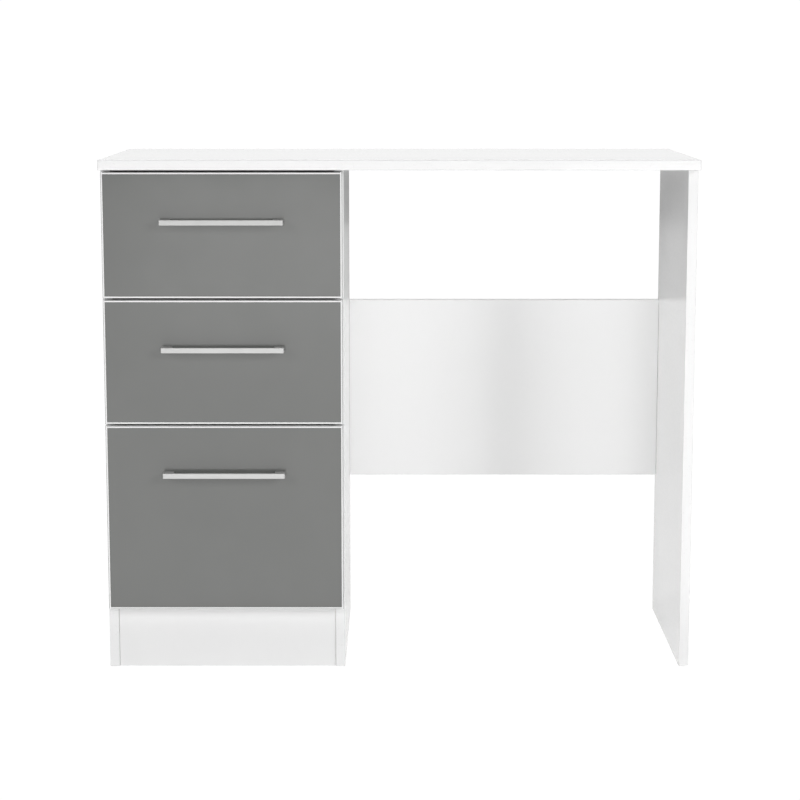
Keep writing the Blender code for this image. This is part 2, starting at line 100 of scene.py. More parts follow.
floor_shape = bmesh.new()
bmesh.ops.create_grid(floor_shape, x_segments=2, y_segments=2, size=FLOOR_REACH,
                      matrix=Matrix.Translation((0.0, 0.0, -FLOOR_DROP)))
floor_mesh = bpy.data.meshes.new("studio_floor")
floor_shape.to_mesh(floor_mesh)
floor_shape.free()
floor_paint = bpy.data.materials.new("floor_paint")
floor_paint.use_nodes = True
floor_shader = floor_paint.node_tree.nodes["Principled BSDF"]
floor_shader.inputs["Base Color"].default_value = (FLOOR_GREY, FLOOR_GREY, FLOOR_GREY, 1.0)
floor_shader.inputs["Roughness"].default_value = 0.7
floor_shader.inputs["Emission Color"].default_value = (1.0, 1.0, 1.0, 1.0)
floor_shader.inputs["Emission Strength"].default_value = FLOOR_GLOW
floor_paint.node_tree.links.new(shown_white_to_lens(floor_paint.node_tree, floor_shader),
                                floor_paint.node_tree.nodes["Material Output"].inputs["Surface"])
floor_mesh.materials.append(floor_paint)
studio_floor = bpy.data.objects.new("studio_floor", floor_mesh)
bpy.context.scene.collection.objects.link(studio_floor)


def add_soft_light(name, middle, towards, width, height, radiance):
    """A flat light that glows with the same radiance wherever it is seen from the front."""
    lamp = bpy.data.lights.new(name, "AREA")
    lamp.shape = "RECTANGLE"
    lamp.size = width
    lamp.size_y = height
    lamp.energy = radiance * width * height * math.pi
    light = bpy.data.objects.new(name, lamp)
    light.location = middle
    light.rotation_euler = (Vector(towards) - Vector(middle)).to_track_quat("-Z", "Y").to_euler()
    light.visible_camera = False
    bpy.context.scene.collection.objects.link(light)
    return light


# The corner lights are kept out of reflections, because the desktop would mirror them as burnt-out patches.
CORNER_LIGHT_WIDTH = 1.2
CORNER_LIGHT_X = 2.4
CORNER_LIGHT_Y = 2.6
CORNER_LIGHT_Z = 1.8
CORNER_LIGHT_AIM = (0.0, 0.0, 0.45)
LEFT_KEY_RADIANCE = 6.6
RIGHT_KEY_RADIANCE = 10.0
LOW_FRONT_RADIANCE = 1.3
OVERHEAD_RADIANCE = 1.6
REAR_RADIANCE = 0.8
REAR_CORNER_RADIANCE = 1.8


def add_corner_light(name, side, end, radiance):
    """A square light at one corner of the studio, that lights the desk but isn't mirrored in it."""
    light = add_soft_light(name, (side * CORNER_LIGHT_X, end * CORNER_LIGHT_Y, CORNER_LIGHT_Z),
                           CORNER_LIGHT_AIM, CORNER_LIGHT_WIDTH, CORNER_LIGHT_WIDTH, radiance)
    light.visible_glossy = False


add_corner_light("left_key_light", -1, -1, LEFT_KEY_RADIANCE)
add_corner_light("right_key_light", 1, -1, RIGHT_KEY_RADIANCE)
add_soft_light("low_front_light", (0.0, -3.4, 0.45), (0.0, 0.0, 0.4), 1.6, 0.7, LOW_FRONT_RADIANCE)
add_soft_light("overhead_light", (0.0, 0.0, 2.2), (0.0, 0.0, 0.4), 2.4, 1.6, OVERHEAD_RADIANCE)
add_soft_light("rear_light", (0.0, 3.0, 1.4), (0.0, 0.0, 0.6), 3.0, 1.6, REAR_RADIANCE)
add_corner_light("left_rear_light", -1, 1, REAR_CORNER_RADIANCE)
add_corner_light("right_rear_light", 1, 1, REAR_CORNER_RADIANCE)

# The glowing cards only show in what is glossy. The space between them is the soft dark band on the
# modesty panel.
CARDS_Y = -0.52
CARD_HEIGHT = 0.77
for card_name, card_left, card_right, radiance in (("left_card", -0.9, 0.19, 1.85),
                                                   ("right_card", 0.265, 1.0, 3.3)):
    card_x = (card_left + card_right) / 2
    card = add_soft_light(card_name, (card_x, CARDS_Y, CARD_HEIGHT / 2), (card_x, 0.0, CARD_HEIGHT / 2),
                          card_right - card_left, CARD_HEIGHT, radiance)
    card.visible_diffuse = False

# ================================================================ desktop
# One faced chipboard, 16 mm thick. A 2 mm plastic band is glued round its four edges and rounded over.
# It lies on the three uprights, held by glued dowels that nobody sees.

MELAMINE, BAND, CHIPBOARD = range(3)    # the order of the finishes on every board
GLUE_LINE = 0.00001
BROKEN_EDGE = 0.00003
DESKTOP_BAND = 0.002
DESKTOP_ROUNDING = 0.0016


def new_finish(name, colour, roughness, metallic=0.0):
    """A finish with one Principled shader."""
    finish = bpy.data.materials.new(name)
    finish.use_nodes = True
    shader = finish.node_tree.nodes["Principled BSDF"]
    shader.inputs["Base Color"].default_value = (*colour, 1.0)
    shader.inputs["Roughness"].default_value = roughness
    shader.inputs["Metallic"].default_value = metallic
    return finish


def speckle(finish, size, detail=2.0, stretch=(1.0, 1.0, 1.0), offset=(0.0, 0.0, 0.0)):
    """A cloudy pattern fixed in the piece. Its patches are about size metres wide, longer where stretched."""
    nodes, links = finish.node_tree.nodes, finish.node_tree.links
    place = nodes.new("ShaderNodeTexCoord")
    fit = nodes.new("ShaderNodeMapping")
    fit.inputs["Location"].default_value = offset
    fit.inputs["Scale"].default_value = tuple(1.0 / (size * long) for long in stretch)
    cloud = nodes.new("ShaderNodeTexNoise")
    cloud.inputs["Scale"].default_value = 1.0
    cloud.inputs["Detail"].default_value = detail
    links.new(place.outputs["Object"], fit.inputs["Vector"])
    links.new(fit.outputs["Vector"], cloud.inputs["Vector"])
    return cloud.outputs["Fac"]


def tint(finish, pattern, *stops):
    """Colours the finish along the pattern, from stops of (place, colour)."""
    nodes, links = finish.node_tree.nodes, finish.node_tree.links
    ramp = nodes.new("ShaderNodeValToRGB")
    marks = ramp.color_ramp.elements
    while len(marks) < len(stops):
        marks.new(0.5)
    for mark, (place, colour) in zip(marks, stops):
        mark.position = place
        mark.color = (*colour, 1.0)
    links.new(pattern, ramp.inputs["Fac"])
    links.new(ramp.outputs["Color"], nodes["Principled BSDF"].inputs["Base Color"])


def dull(finish, pattern, least, most):
    """Lets the roughness run between two values along the pattern."""
    nodes, links = finish.node_tree.nodes, finish.node_tree.links
    span = nodes.new("ShaderNodeMapRange")
    span.inputs["From Min"].default_value = 0.3
    span.inputs["From Max"].default_value = 0.7
    span.inputs["To Min"].default_value = least
    span.inputs["To Max"].default_value = most
    links.new(pattern, span.inputs["Value"])
    links.new(span.outputs["Result"], nodes["Principled BSDF"].inputs["Roughness"])


def emboss(finish, pattern, height, strength=1.0):
    """Raises the pattern by height metres. A second call lies on top of the first."""
    nodes, links = finish.node_tree.nodes, finish.node_tree.links
    shader = nodes["Principled BSDF"]
    relief = nodes.new("ShaderNodeBump")
    relief.inputs["Distance"].default_value = height
    relief.inputs["Strength"].default_value = strength
    links.new(pattern, relief.inputs["Height"])
    if shader.inputs["Normal"].links:
        links.new(shader.inputs["Normal"].links[0].from_socket, relief.inputs["Normal"])
    links.new(relief.outputs["Normal"], shader.inputs["Normal"])


def white_melamine():
    """Satin white paper-and-resin face, with a fine pearl grain."""
    finish = new_finish("white_melamine", (0.86, 0.86, 0.86), 0.2)
    finish.node_tree.nodes["Principled BSDF"].inputs["Specular IOR Level"].default_value = 0.75
    tint(finish, speckle(finish, 0.21), (0.3, (0.857, 0.857, 0.857)), (0.7, (0.863, 0.863, 0.862)))
    dull(finish, speckle(finish, 0.004, 3.0), 0.17, 0.21)
    emboss(finish, speckle(finish, 0.0011, 3.0), 0.00002, 0.5)
    return finish


def white_edge_band(name, white):
    """White plastic strip, with faint lines along it from the scraper."""
    finish = new_finish(name, (white, white, white), 0.3)
    tint(finish, speckle(finish, 0.12), (0.3, (white - 0.003,) * 3), (0.7, (white + 0.003,) * 3))
    dull(finish, speckle(finish, 0.003), 0.27, 0.33)
    emboss(finish, speckle(finish, 0.0008, 1.0, (30.0, 1.0, 30.0)), 0.00001, 0.4)
    return finish


def bare_chipboard():
    """Pressed wood chips, bare at cut ends, in grooves and in drilled holes."""
    finish = new_finish("bare_chipboard", (0.55, 0.40, 0.25), 0.85)
    chips = speckle(finish, 0.0035, 4.0, (2.2, 2.2, 1.0))
    tint(finish, chips, (0.30, (0.30, 0.19, 0.10)), (0.48, (0.52, 0.37, 0.22)), (0.68, (0.70, 0.56, 0.38)))
    emboss(finish, chips, 0.0006)
    return finish


def add_block(shape, low, high, finish, rounding=0.0, steps=2, outer=None):
    """Adds a block between two corners. All its edges are rounded, or those of one (axis, end) side."""
    size = Vector(high) - Vector(low)
    place = Matrix.Translation((Vector(high) + Vector(low)) / 2) @ Matrix.Diagonal((*size, 1.0))
    corners = bmesh.ops.create_cube(shape, size=1.0, matrix=place)["verts"]
    faces = list(dict.fromkeys(face for corner in corners for face in corner.link_faces))
    edges = list(dict.fromkeys(edge for corner in corners for edge in corner.link_edges))
    for face in faces:
        face.material_index = finish
        face.normal_update()
    if outer:
        axis, end = outer
        side = max(end * corner.co[axis] for corner in corners) - 1e-6
        edges = [edge for edge in edges if all(end * corner.co[axis] > side for corner in edge.verts)]
    if rounding:
        bmesh.ops.bevel(shape, geom=edges, offset=rounding, segments=steps, profile=0.5, affect="EDGES")
    return faces


def add_cut(piece, cutter):
    """Takes a mesh of closed cutters away from the piece."""
    bmesh.ops.recalc_face_normals(cutter, faces=cutter.faces)
    tool_mesh = bpy.data.meshes.new("cutter")
    cutter.to_mesh(tool_mesh)
    cutter.free()
    tool = bpy.data.objects.new("cutter", tool_mesh)
    bpy.context.scene.collection.objects.link(tool)
    cut = piece.modifiers.new("cut", "BOOLEAN")
    cut.object = tool
    cut.solver = "EXACT"
    cut.material_mode = "INDEX"
    whole = piece.data
    piece.data = bpy.data.meshes.new_from_object(piece.evaluated_get(bpy.context.evaluated_depsgraph_get()))
    piece.modifiers.clear()
    bpy.data.meshes.remove(whole)
    bpy.data.objects.remove(tool)
    bpy.data.meshes.remove(tool_mesh)


def new_piece(name, shape, body, finishes, nodes=(), cutter=None):
    """Makes the shape a piece that rides on a body, and lets it stand for the model's own nodes."""
    bmesh.ops.recalc_face_normals(shape, faces=shape.faces)
    mesh = bpy.data.meshes.new(name)
    shape.to_mesh(mesh)
    shape.free()
    for finish in finishes:
        mesh.materials.append(finish)
    piece = bpy.data.objects.new(name, mesh)
    bpy.context.scene.collection.objects.link(piece)
    if cutter:
        add_cut(piece, cutter)
    piece.data.name = name
    piece.data.shade_smooth()
    piece.data.set_sharp_from_angle(angle=math.radians(35))
    flat_faces = piece.modifiers.new("flat_faces", "WEIGHTED_NORMAL")
    flat_faces.keep_sharp = True
    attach(piece, body)
    if nodes:
        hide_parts(*nodes)
    return piece


def add_faced_board(shape, low, high, face_axis, banded, band, rounding):
    """Adds chipboard faced on both sides, with bands on the (axis, end) sides. The first ones run through."""
    room = [Vector(low), Vector(high)]
    for axis, end in banded:
        far = 1 if end > 0 else 0
        strip = [room[0].copy(), room[1].copy()]
        strip[1 - far][axis] = room[far][axis] - end * band
        add_block(shape, *strip, BAND, rounding, 3, (axis, end))
        room[far][axis] -= end * (band + GLUE_LINE)
    faces = add_block(shape, *room, CHIPBOARD)
    for face in faces:
        if abs(face.normal[face_axis]) > 0.5:
            face.material_index = MELAMINE
    edges = list(dict.fromkeys(edge for face in faces for edge in face.edges))
    bmesh.ops.bevel(shape, geom=edges, offset=BROKEN_EDGE, segments=1, affect="EDGES")


board_finishes = (white_melamine(), white_edge_band("white_edge_band", 0.87), bare_chipboard())
# The desktop's band is a whiter copy of the same plastic band. Its extra whiteness is painted light, standing
# in for the brighter light that falls on the desktop's front edge.
band_painted_lit = white_edge_band("white_band_painted_lit", 0.96)

desktop_finishes = (board_finishes[MELAMINE], band_painted_lit, board_finishes[CHIPBOARD])
desktop_edges = ((1, -1), (1, 1), (0, -1), (0, 1))

shape = bmesh.new()
add_faced_board(shape, desk_low, desk_high, 2, desktop_edges, DESKTOP_BAND, DESKTOP_ROUNDING)
new_piece("desktop_board", shape, "desk", desktop_finishes, ["desktop"])

# ================================================================ uprights
# Two pedestal sides and the right leg, all 15 mm faced chipboard. Their front and back edges are banded.
# The ends under the desktop and on the floor are bare. A saw groove in each pedestal side takes the back.

UPRIGHT_BAND = 0.001
UPRIGHT_ROUNDING = 0.0008
GROOVE_DEPTH = 0.005
GROOVE_ROOM = 0.0003

back_low, back_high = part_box("pedestal_back")
for upright, grooved_end in (("pedestal_left_side", 1), ("pedestal_right_side", -1), ("right_leg", 0)):
    low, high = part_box(upright)
    shape = bmesh.new()
    add_faced_board(shape, low, high, 0, ((1, -1), (1, 1)), UPRIGHT_BAND, UPRIGHT_ROUNDING)
    groove = None
    if grooved_end:
        inner_x = high.x if grooved_end > 0 else low.x
        groove = bmesh.new()
        add_block(groove,
                  (inner_x - GROOVE_DEPTH, back_low.y - GROOVE_ROOM, back_low.z - GROOVE_ROOM),
                  (inner_x + GROOVE_DEPTH, back_high.y + GROOVE_ROOM, high.z + GROOVE_DEPTH), CHIPBOARD)
    new_piece(upright + "_board", shape, "desk", board_finishes, [upright], groove)

# ================================================================ modesty panel, base and plinth
# The modesty panel is doweled between the pedestal and the leg, banded along its top and bottom.
# The base and the plinth are glued between the pedestal's sides. Only their front edges and faces show.

for board, face_axis, banded in (("modesty_panel", 1, ((2, 1), (2, -1))),
                                 ("pedestal_base", 2, ((1, -1),)),
                                 ("pedestal_plinth", 1, ((2, -1),))):
    low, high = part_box(board)
    shape = bmesh.new()
    add_faced_board(shape, low, high, face_axis, banded, UPRIGHT_BAND, UPRIGHT_ROUNDING)
    new_piece(board + "_board", shape, "desk", board_finishes, [board])

# ================================================================ pedestal back
# A sheet of 3 mm hardboard, painted white inside and brown with a wire-screen print outside.
# It is slid down the grooves in the sides and nailed into the edge of the base with steel pins.

PAINTED, BROWN = range(2)
SHEET_EDGE = 0.0002
PIN_HEAD_RADIUS = 0.0016
PIN_HEAD_HEIGHT = 0.0006
PIN_LENGTH = 0.015
PIN_COUNT = 6
PIN_SIDES = 12


def painted_hardboard():
    """Thin white paint with a faint roller stipple."""
    finish = new_finish("painted_hardboard", (0.82, 0.82, 0.80), 0.5)
    tint(finish, speckle(finish, 0.08), (0.3, (0.805, 0.805, 0.785)), (0.7, (0.835, 0.835, 0.815)))
    dull(finish, speckle(finish, 0.01), 0.44, 0.56)
    emboss(finish, speckle(finish, 0.0016, 3.0), 0.00006, 0.5)
    return finish


def brown_hardboard():
    """Pressed wood fibre, with the print of the wire screen that it was pressed on."""
    finish = new_finish("brown_hardboard", (0.33, 0.20, 0.11), 0.8)
    fibres = speckle(finish, 0.0022, 6.0, (1.0, 1.0, 1.8))
    tint(finish, fibres, (0.32, (0.28, 0.17, 0.092)), (0.68, (0.38, 0.24, 0.137)))
    emboss(finish, fibres, 0.0002)
    nodes, links = finish.node_tree.nodes, finish.node_tree.links
    place = nodes.new("ShaderNodeTexCoord")
    for direction in ("X", "Y", "Z"):
        wires = nodes.new("ShaderNodeTexWave")
        wires.bands_direction = direction
        wires.inputs["Scale"].default_value = 160.0
        wires.inputs["Distortion"].default_value = 0.4
        links.new(place.outputs["Object"], wires.inputs["Vector"])
        emboss(finish, wires.outputs["Fac"], 0.00012)
    return finish


def bright_zinc():
    """Zinc-plated steel, a little cloudy."""
    finish = new_finish("bright_zinc", (0.63, 0.64, 0.66), 0.34, 1.0)
    tint(finish, speckle(finish, 0.004, 3.0), (0.3, (0.56, 0.57, 0.59)), (0.7, (0.68, 0.69, 0.70)))
    dull(finish, speckle(finish, 0.002, 3.0), 0.26, 0.44)
    emboss(finish, speckle(finish, 0.0006, 2.0), 0.00001, 0.5)
    return finish


def add_turned(shape, profile, place, finish=0, sides=24):
    """Turns a profile of (radius, height) points round the place's Z. One off the axis closes as a ring."""
    rings = []
    for radius, height in profile:
        if radius == 0.0:
            rings.append([shape.verts.new(place @ Vector((0.0, 0.0, height)))] * sides)
            continue
        turns = [2.0 * math.pi * step / sides for step in range(sides)]
        rings.append([shape.verts.new(place @ Vector((radius * math.cos(turn), radius * math.sin(turn),
                                                      height)))
                      for turn in turns])
    pairs = list(zip(rings, rings[1:]))
    if profile[0][0] > 0.0 and profile[-1][0] > 0.0:
        pairs.append((rings[-1], rings[0]))
    for lower, upper in pairs:
        for step in range(sides):
            following = (step + 1) % sides
            corners = dict.fromkeys((lower[step], lower[following], upper[following], upper[step]))
            if len(corners) > 2:
                shape.faces.new(corners).material_index = finish


def facing(direction, point):
    """A place at the point whose own Z looks along the direction."""
    return Matrix.Translation(point) @ Vector(direction).to_track_quat("Z", "Y").to_matrix().to_4x4()


def add_sheet(shape, low, high, side_axis, side_end):
    """Adds a sheet of hardboard, painted on one side and brown on all the others."""
    faces = add_block(shape, low, high, BROWN)
    for face in faces:
        if face.normal[side_axis] * side_end > 0.5:
            face.material_index = PAINTED
    edges = list(dict.fromkeys(edge for face in faces for edge in face.edges))
    bmesh.ops.bevel(shape, geom=edges, offset=SHEET_EDGE, segments=1, affect="EDGES")


hardboard_finishes = (painted_hardboard(), brown_hardboard())
zinc = bright_zinc()

shape = bmesh.new()
add_sheet(shape, back_low, back_high, 1, -1)
new_piece("pedestal_back_sheet", shape, "desk", hardboard_finishes, ["pedestal_back"])

base_low, base_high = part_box("pedestal_base")
pin_z = (base_low.z + base_high.z) / 2
pin_profile = ((0.0, PIN_HEAD_HEIGHT), (PIN_HEAD_RADIUS * 0.7, PIN_HEAD_HEIGHT),
               (PIN_HEAD_RADIUS, PIN_HEAD_HEIGHT / 2), (PIN_HEAD_RADIUS, 0.0),
               (PIN_HEAD_RADIUS / 2, 0.0), (PIN_HEAD_RADIUS / 2, -PIN_LENGTH), (0.0, -PIN_LENGTH))
shape = bmesh.new()
for pin in range(PIN_COUNT):
    pin_x = base_low.x + (pin + 0.5) * (base_high.x - base_low.x) / PIN_COUNT
    add_turned(shape, pin_profile, facing((0, 1, 0), (pin_x, back_high.y, pin_z)), 0, PIN_SIDES)
new_piece("back_pins", shape, "desk", [zinc])

DRAWERS = ("top", "middle", "bottom")

# ================================================================ drawer fronts
# 16 mm board with a high-gloss grey face and a white back. A thick white band round all four edges shows as a
# thin white frame round the grey. Four felt dots, two at each side of the back, keep it off the uprights.

GLOSS, FRONT_BAND, FRONT_CORE, FRONT_BACK = range(4)
FRONT_BAND_THICKNESS = 0.0028
FRONT_BAND_ROUNDING = 0.0006
FLOOR_GROOVE_DEPTH = 0.005
SCREW_HOLE = 0.0023
FELT_RADIUS = 0.0045
FELT_DROP = 0.020


def grey_gloss():
    """Wrapped gloss foil, very slightly wavy, as lacquer and foil both are."""
    finish = new_finish("grey_gloss", (0.125, 0.128, 0.123), 0.16)
    shader = finish.node_tree.nodes["Principled BSDF"]
    shader.inputs["Specular IOR Level"].default_value = 0.5
    tint(finish, speckle(finish, 0.09, 2.0), (0.3, (0.122, 0.1252, 0.1202)), (0.7, (0.128, 0.1308, 0.1258)))
    dull(finish, speckle(finish, 0.03, 3.0), 0.15, 0.20)
    emboss(finish, speckle(finish, 0.012, 1.0), 0.00003, 0.4)
    return finish


def grey_felt():
    """Soft grey felt."""
    finish = new_finish("grey_felt", (0.35, 0.35, 0.35), 0.95)
    fibres = speckle(finish, 0.0004, 4.0, (1.0, 1.0, 3.0))
    tint(finish, fibres, (0.3, (0.26, 0.26, 0.26)), (0.7, (0.42, 0.42, 0.42)))
    emboss(finish, fibres, 0.0002)
    return finish


front_finishes = (grey_gloss(), board_finishes[BAND], board_finishes[CHIPBOARD], board_finishes[MELAMINE])
front_edges = ((0, -1), (0, 1), (2, -1), (2, 1))
felt = grey_felt()
left_side_low, left_side_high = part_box("pedestal_left_side")
right_side_low, right_side_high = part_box("pedestal_right_side")

for drawer in DRAWERS:
    body = drawer + "_drawer"
    low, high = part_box(drawer + "_drawer_front")
    floor_low, floor_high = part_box(drawer + "_drawer_floor")
    shape = bmesh.new()
    add_faced_board(shape, low, high, 1, front_edges, FRONT_BAND_THICKNESS, FRONT_BAND_ROUNDING)
    shape.faces.ensure_lookup_table()
    for face in shape.faces:
        if face.material_index == MELAMINE and face.calc_center_median().y > (low.y + high.y) / 2:
            face.material_index = FRONT_BACK
    cutter = bmesh.new()
    add_block(cutter,
              (floor_low.x - GROOVE_ROOM, high.y - FLOOR_GROOVE_DEPTH, floor_low.z - GROOVE_ROOM),
              (floor_high.x + GROOVE_ROOM, high.y + FLOOR_GROOVE_DEPTH, floor_high.z + GROOVE_ROOM),
              FRONT_CORE)
    for hand in ("left", "right"):
        screw_low, screw_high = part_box(f"{drawer}_handle_screw_{hand}")
        screw_middle = (screw_low + screw_high) / 2
        add_turned(cutter, ((0.0, 0.02), (SCREW_HOLE, 0.02), (SCREW_HOLE, -0.02), (0.0, -0.02)),
                   facing((0, -1, 0), (screw_middle.x, (low.y + high.y) / 2, screw_middle.z)), FRONT_CORE, 20)
    new_piece(drawer + "_drawer_front_board", shape, body, front_finishes,
              [drawer + "_drawer_front"], cutter)

    felt_thickness = left_side_low.y - high.y - 0.0001
    shape = bmesh.new()
    for felt_x in ((left_side_low.x + left_side_high.x) / 2, (right_side_low.x + right_side_high.x) / 2):
        for felt_z in (high.z - FELT_DROP, low.z + FELT_DROP):
            add_turned(shape, ((0.0, felt_thickness), (FELT_RADIUS * 0.9, felt_thickness),
                               (FELT_RADIUS, felt_thickness / 2), (FELT_RADIUS, 0.0), (0.0, 0.0)),
                       facing((0, 1, 0), (felt_x, high.y, felt_z)))
    new_piece(drawer + "_drawer_felt_dots", shape, body, [felt])

# ================================================================ handles
# A flat bar on two block feet, cast in zinc, brushed along its length and satin plated, with eased corners.
# Two pan-head screws hold it from inside the drawer, one in each foot.

BAR_THICKNESS = 0.0045
FOOT_WIDTH = 0.016
BAR_CORNER = 0.0012
FOOT_FILLET = 0.003
BAR_EDGE = 0.0005
ARC_STEPS = 6
HEAD_RADIUS = 0.004
HEAD_HEIGHT = 0.0022
SCREW_RADIUS = 0.002
RECESS_LENGTH = 0.0042
RECESS_WIDTH = 0.0009
RECESS_DEPTH = 0.0014


def satin_plate():
    """Satin nickel, brushed along X."""
    finish = new_finish("satin_plate", (0.43, 0.43, 0.425), 0.42, 0.35)
    brushing = speckle(finish, 0.0003, 2.0, (180.0, 1.0, 1.0))
    dull(finish, brushing, 0.36, 0.48)
    emboss(finish, brushing, 0.000012, 0.6)
    tint(finish, speckle(finish, 0.03, 2.0), (0.3, (0.42, 0.42, 0.415)), (0.7, (0.44, 0.44, 0.435)))
    return finish


def rounded_outline(corners):
    """The points of a closed outline, from corners (x, y, radius)."""
    points = []
    for index, (x, y, radius) in enumerate(corners):
        corner = Vector((x, y))
        if radius == 0.0:
            points.append(corner)
            continue
        before = (Vector(corners[index - 1][:2]) - corner).normalized()
        after = (Vector(corners[(index + 1) % len(corners)][:2]) - corner).normalized()
        middle = corner + (before + after) * radius
        start = corner + before * radius - middle
        finish = corner + after * radius - middle
        for step in range(ARC_STEPS + 1):
            points.append(middle + start.lerp(finish, step / ARC_STEPS).normalized() * radius)
    return points


def add_plate(shape, outline, thickness, place, finish=0):
    """Adds a plate of that outline. It lies in the place's XY plane, half its thickness on each side."""
    rims = [[shape.verts.new(place @ Vector((point.x, point.y, height))) for point in outline]
            for height in (-thickness / 2, thickness / 2)]
    faces = [shape.faces.new(rims[0]), shape.faces.new(rims[1])]
    for index in range(len(outline)):
        faces.append(shape.faces.new((rims[0][index - 1], rims[0][index],
                                      rims[1][index], rims[1][index - 1])))
    for face in faces:
        face.material_index = finish
    bmesh.ops.recalc_face_normals(shape, faces=faces)
    return faces


def screw_mesh(head_profile, length):
    """One screw whose head lies above z = 0. Its cross recess is cut one arm at a time, because overlapping
    cutters would leave nothing of the screw."""
    shape = bmesh.new()
    add_turned(shape, (*head_profile, (SCREW_RADIUS, 0.0), (SCREW_RADIUS, 0.001 - length), (0.0, -length)),
               Matrix.Identity(4), 0, 20)
    bmesh.ops.recalc_face_normals(shape, faces=shape.faces)
    top = head_profile[0][1]
    mesh = bpy.data.meshes.new("screw")
    shape.to_mesh(mesh)
    shape.free()
    pattern = bpy.data.objects.new("screw", mesh)
    bpy.context.scene.collection.objects.link(pattern)
    for wide, narrow in ((RECESS_LENGTH, RECESS_WIDTH), (RECESS_WIDTH, RECESS_LENGTH)):
        arm = bmesh.new()
        corners = bmesh.ops.create_cube(arm, size=1.0, matrix=Matrix.Translation((0.0, 0.0, top))
                                        @ Matrix.Diagonal((wide, narrow, 2 * RECESS_DEPTH, 1.0)))["verts"]
        for corner in corners:
            if corner.co.z < top:
                corner.co.xy *= 0.55
        add_cut(pattern, arm)
    cut_mesh = pattern.data
    bpy.data.objects.remove(pattern)
    return cut_mesh


def add_copy(shape, mesh, place):
    """Adds a copy of the mesh at that place."""
    shape.verts.ensure_lookup_table()
    already = len(shape.verts)
    shape.from_mesh(mesh)
    shape.verts.ensure_lookup_table()
    bmesh.ops.transform(shape, matrix=place, verts=shape.verts[already:])


plate = satin_plate()
pan_head = ((0.0, HEAD_HEIGHT), (HEAD_RADIUS * 0.45, HEAD_HEIGHT * 0.97),
            (HEAD_RADIUS * 0.8, HEAD_HEIGHT * 0.78), (HEAD_RADIUS, HEAD_HEIGHT * 0.35), (HEAD_RADIUS, 0.0))
handle_screw_low, handle_screw_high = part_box("top_handle_screw_left")
handle_screw = screw_mesh(pan_head, handle_screw_high.y - handle_screw_low.y - HEAD_HEIGHT)

for drawer in DRAWERS:
    body = drawer + "_drawer"
    low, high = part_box(drawer + "_handle")
    middle_x = (low.x + high.x) / 2
    half_length = (high.x - low.x) / 2
    reach = high.y - low.y
    inner_half = half_length - FOOT_WIDTH
    outline = rounded_outline((
        (-half_length, 0.0, 0.0),
        (-half_length, -reach, BAR_CORNER),
        (half_length, -reach, BAR_CORNER),
        (half_length, 0.0, 0.0),
        (inner_half, 0.0, 0.0),
        (inner_half, BAR_THICKNESS - reach, FOOT_FILLET),
        (-inner_half, BAR_THICKNESS - reach, FOOT_FILLET),
        (-inner_half, 0.0, 0.0),
    ))
    shape = bmesh.new()
    add_plate(shape, outline, high.z - low.z, Matrix.Translation((middle_x, high.y, (low.z + high.z) / 2)))
    sharp = [edge for edge in shape.edges if edge.calc_face_angle(0.0) > math.radians(50)]
    bmesh.ops.bevel(shape, geom=sharp, offset=BAR_EDGE, segments=2, profile=0.5, affect="EDGES")
    holes = bmesh.new()
    screws = bmesh.new()
    for hand in ("left", "right"):
        screw_low, screw_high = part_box(f"{drawer}_handle_screw_{hand}")
        screw_x = (screw_low.x + screw_high.x) / 2
        screw_z = (screw_low.z + screw_high.z) / 2
        hole_end = screw_low.y - high.y - 0.0003
        add_turned(holes, ((0.0, 0.01), (SCREW_HOLE, 0.01), (SCREW_HOLE, hole_end), (0.0, hole_end)),
                   facing((0, 1, 0), (screw_x, high.y, screw_z)), 0, 20)
        add_copy(screws, handle_screw, facing((0, 1, 0), (screw_x, screw_high.y - HEAD_HEIGHT, screw_z)))
    new_piece(drawer + "_bar_handle", shape, body, [plate], [drawer + "_handle"], holes)
    new_piece(drawer + "_handle_screws", screws, body, [zinc],
              [f"{drawer}_handle_screw_left", f"{drawer}_handle_screw_right"])

# ================================================================ drawer boxes
# Sides and back of 12 mm faced board with a band along the top edge. A hardboard floor slides in a groove.
# Cam fittings inside hold the sides to the front, and two flush screws hold each side to the back.

BOX_BAND = 0.0008
BOX_ROUNDING = 0.0006
CAM_RADIUS = 0.0075
CAM_SETBACK = 0.024
CAM_DEPTH = 0.0095
CAM_SINK = 0.0003
CAM_CROSS_LENGTH = 0.0074
CAM_CROSS_WIDTH = 0.0013
CAM_CROSS_DEPTH = 0.0030
FLUSH_HEAD_RADIUS = 0.0038
BACK_SCREW_LENGTH = 0.035
LOWER_FIXING = 0.046
UPPER_FIXING = 0.024


def cast_zinc():
    """Dull cast zinc alloy."""
    finish = new_finish("cast_zinc", (0.45, 0.45, 0.46), 0.5, 1.0)
    tint(finish, speckle(finish, 0.002, 3.0), (0.3, (0.36, 0.36, 0.37)), (0.7, (0.52, 0.52, 0.53)))
    dull(finish, speckle(finish, 0.001, 2.0), 0.42, 0.6)
    emboss(finish, speckle(finish, 0.0005, 2.0), 0.00003, 0.6)
    return finish


